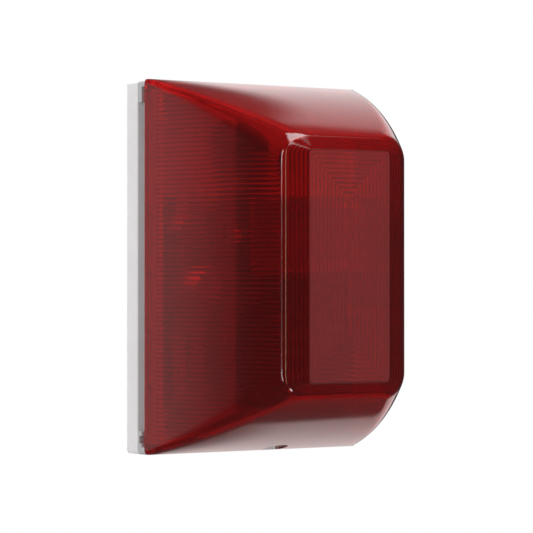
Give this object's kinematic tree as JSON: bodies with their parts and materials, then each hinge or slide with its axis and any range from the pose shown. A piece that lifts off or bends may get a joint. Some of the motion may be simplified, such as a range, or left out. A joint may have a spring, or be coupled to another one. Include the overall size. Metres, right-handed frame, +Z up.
{
  "type": "alarm siren",
  "caption": "Wall-mounted alarm siren and strobe: domed red fluted lens cover hinged on a white back plate, with horn, flash tube, circuit board, tamper switch and cable entry.",
  "frame": {"origin": "centre of the back plate's rear face, on the wall plane", "axes": "+Z up the wall, -Y out of the wall towards the viewer, +X to the viewer's right"},
  "size_m": [0.09, 0.0703, 0.13],
  "materials": {
    "white_plastic": "fine satin moulded ABS",
    "red_lens": "polished translucent polycarbonate with moulded flutes",
    "zinc_screw": "zinc plated",
    "black_screw": "black oxide",
    "grommet_rubber": "matt black rubber",
    "retainer_nylon": "natural nylon",
    "board_mask": "pale solder mask over glass laminate",
    "horn_plastic": "near-black moulded ABS",
    "grille_plastic": "dark moulded ABS",
    "driver_metal": "black cup",
    "diaphragm_film": "pressed thin aluminium",
    "header_nylon": "natural nylon",
    "lead_sleeve": "red PVC",
    "stand_plastic": "dark grey ABS",
    "reflector_bright": "vacuum metallised",
    "tube_glass": "clear quartz",
    "cap_metal": "rolled end caps",
    "wire_tinned": "tinned copper",
    "coil_black": "potted black",
    "capacitor_sleeve": "blue-grey sleeve",
    "ferrite": "sintered ferrite",
    "winding_copper": "enamelled copper",
    "chip_epoxy": "black epoxy",
    "heatsink_alloy": "extruded",
    "filter_sleeve": "blue-grey sleeve",
    "diode_epoxy": "black epoxy",
    "resistor_lacquer": "lacquered",
    "led_clear": "tinted epoxy",
    "fuse_glass": "glass",
    "terminal_grey": "grey polyamide",
    "clamp_brass": "plain",
    "switch_blue": "blue",
    "slider_white": "white",
    "pot_body": "blue",
    "pot_rotor": "cream",
    "tamper_black": "black",
    "plunger_white": "white acetal",
    "spring_steel": "spring wire"
  },
  "bodies": {
    "base": {"back_plate": "white_plastic", "cable_grommet": "grommet_rubber", "circuit_board": "board_mask", "board_screws": "zinc_screw", "horn_housing": "horn_plastic", "horn_driver": "driver_metal", "horn_diaphragm": "diaphragm_film", "horn_grille": "grille_plastic", "horn_screws": "black_screw", "horn_header": "header_nylon", "horn_plug": "header_nylon", "horn_leads": "lead_sleeve", "reflector_stand": "stand_plastic", "strobe_reflector": "reflector_bright", "flash_tube": "tube_glass", "tube_caps": "cap_metal", "tube_leads": "wire_tinned", "trigger_coil": "coil_black", "storage_capacitor": "capacitor_sleeve", "step_up_transformer": "ferrite", "transformer_winding": "winding_copper", "choke_coil": "winding_copper", "controller_chip": "chip_epoxy", "chip_legs": "wire_tinned", "heatsink": "heatsink_alloy", "driver_transistor": "chip_epoxy", "filter_capacitors": "filter_sleeve", "power_diodes": "diode_epoxy", "resistors": "resistor_lacquer", "status_leds": "led_clear", "fuse": "fuse_glass", "terminal_block": "terminal_grey", "terminal_clamps": "clamp_brass", "terminal_screws": "zinc_screw", "option_switch_body": "switch_blue", "volume_control_body": "pot_body", "tamper_switch_body": "tamper_black", "tamper_spring": "spring_steel"},
    "cover": {"lens_cover": "red_lens", "screw_retainer": "retainer_nylon"},
    "cover_screw": {"cover_screw": "black_screw"},
    "tamper_plunger": {"tamper_plunger": "plunger_white"},
    "volume_rotor": {"volume_rotor": "pot_rotor"},
    "option_slider_1": {"option_slider_1": "slider_white"},
    "option_slider_2": {"option_slider_2": "slider_white"},
    "option_slider_3": {"option_slider_3": "slider_white"},
    "option_slider_4": {"option_slider_4": "slider_white"}
  },
  "joints": [
    {"name": "cover_swing", "type": "hinge", "parent": "base", "child": "cover", "pos_m": [0, -0.0115, 0.065], "axis": [-1, 0, 0], "range_deg": [0, 30]},
    {"name": "cover_screw_turn", "type": "hinge", "parent": "cover", "child": "cover_screw", "pos_m": [0.0075, -0.015, -0.0617], "axis": [0, 0, -1], "continuous": true},
    {"name": "tamper_press", "type": "slide", "parent": "base", "child": "tamper_plunger", "axis": [0, -1, 0], "range_m": [0, 0.0026], "deforming": ["tamper_spring"]},
    {"name": "volume_turn", "type": "hinge", "parent": "base", "child": "volume_rotor", "pos_m": [0.0315, -0.015, -0.0358], "axis": [0, -1, 0], "range_deg": [-135, 135]},
    {"name": "option_slide_1", "type": "slide", "parent": "base", "child": "option_slider_1", "axis": [1, 0, 0], "range_m": [0, 0.0018]},
    {"name": "option_slide_2", "type": "slide", "parent": "base", "child": "option_slider_2", "axis": [1, 0, 0], "range_m": [0, 0.0018]},
    {"name": "option_slide_3", "type": "slide", "parent": "base", "child": "option_slider_3", "axis": [1, 0, 0], "range_m": [0, 0.0018]},
    {"name": "option_slide_4", "type": "slide", "parent": "base", "child": "option_slider_4", "axis": [1, 0, 0], "range_m": [0, 0.0018]}
  ],
  "couplings": [
    {"joint": "tamper_press", "follows": "cover_swing", "m_per_rad": 0.0047746}
  ]
}
